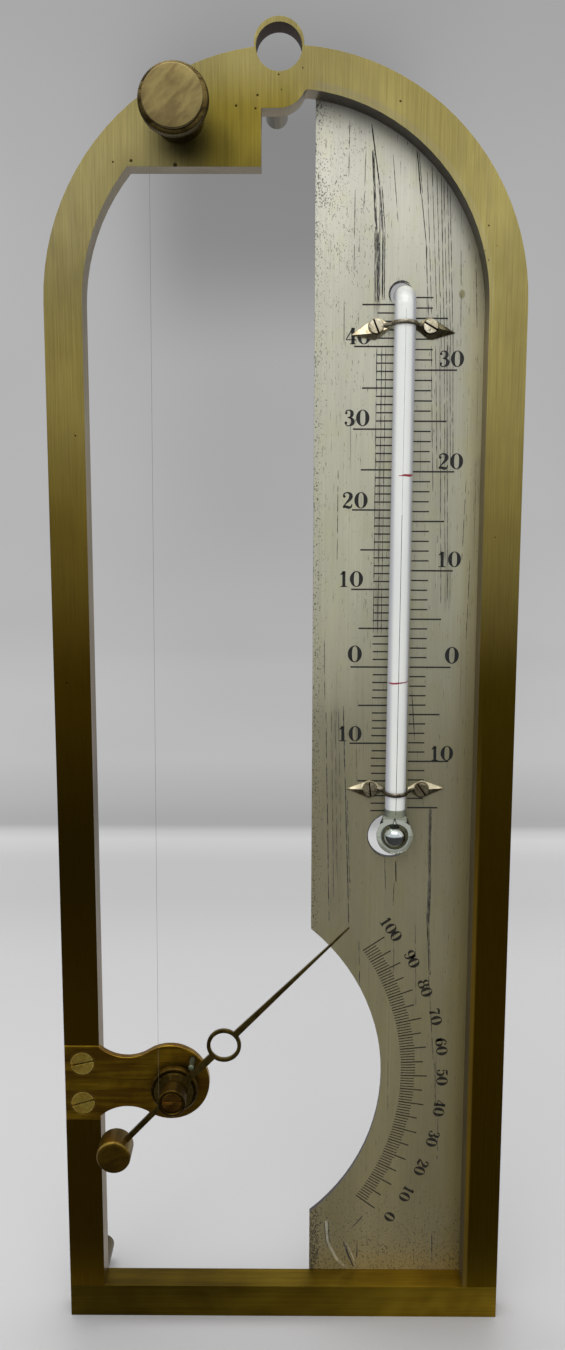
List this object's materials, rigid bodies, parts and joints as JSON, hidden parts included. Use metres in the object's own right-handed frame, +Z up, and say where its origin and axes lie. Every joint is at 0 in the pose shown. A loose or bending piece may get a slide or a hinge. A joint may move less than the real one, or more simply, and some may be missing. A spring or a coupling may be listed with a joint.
{
  "type": "hair hygrometer",
  "caption": "Wall hair hygrometer: arched brass frame, silvered scale plate, counterweighted pointer on a bracket, adjusting knob and mercury thermometer.",
  "frame": {"origin": "centre of the hanging eye's hole, at the middle of the frame's thickness", "axes": "+X to the right seen from the front, +Y from the front to the wall, +Z up"},
  "size_m": [0.1194, 0.0423, 0.3422],
  "materials": {
    "frame_brass": "satin, worn lacquer",
    "dark_brass": "satin, dull",
    "foot_brass": "turned",
    "silvered_brass": "silvered, tarnished",
    "tube_glass": "clear",
    "mercury": "liquid",
    "clip_metal": "nickelled, worn",
    "screw_metal": "polished",
    "bracket_brass": "brushed",
    "drum_brass": "turned",
    "pointer_brass": "polished",
    "weight_brass": "turned",
    "knob_brass": "turned, dull",
    "hair": "natural"
  },
  "bodies": {
    "frame": {"arch_frame": "frame_brass", "base_bar": "dark_brass", "base_screws": "screw_metal", "foot_top": "foot_brass", "foot_left": "foot_brass", "foot_right": "foot_brass", "scale_plate": "silvered_brass", "plate_screws": "screw_metal", "thermometer_tube": "tube_glass", "mercury": "mercury", "upper_clip": "clip_metal", "lower_clip": "clip_metal", "upper_clip_screws": "screw_metal", "lower_clip_screws": "screw_metal", "bearing_bracket": "bracket_brass", "bracket_screw_upper": "screw_metal", "bracket_screw_lower": "screw_metal", "stop_pin": "screw_metal", "pivot_screw": "screw_metal", "pivot_nut": "screw_metal", "friction_washer": "screw_metal", "hair": "hair"},
    "pointer": {"hair_drum": "drum_brass", "pointer": "pointer_brass", "counterweight": "weight_brass"},
    "knob": {"adjusting_knob": "knob_brass", "knob_spindle": "knob_brass", "spindle_nut": "knob_brass"}
  },
  "joints": [
    {"name": "pointer_turn", "type": "hinge", "parent": "frame", "child": "pointer", "pos_m": [-0.0279, -0.0088, -0.26545], "axis": [0, 1, 0], "range_deg": [0, 84]},
    {"name": "knob_turn", "type": "hinge", "parent": "frame", "child": "knob", "pos_m": [-0.0241, 0, -0.01585], "axis": [0, 1, 0], "continuous": true}
  ]
}
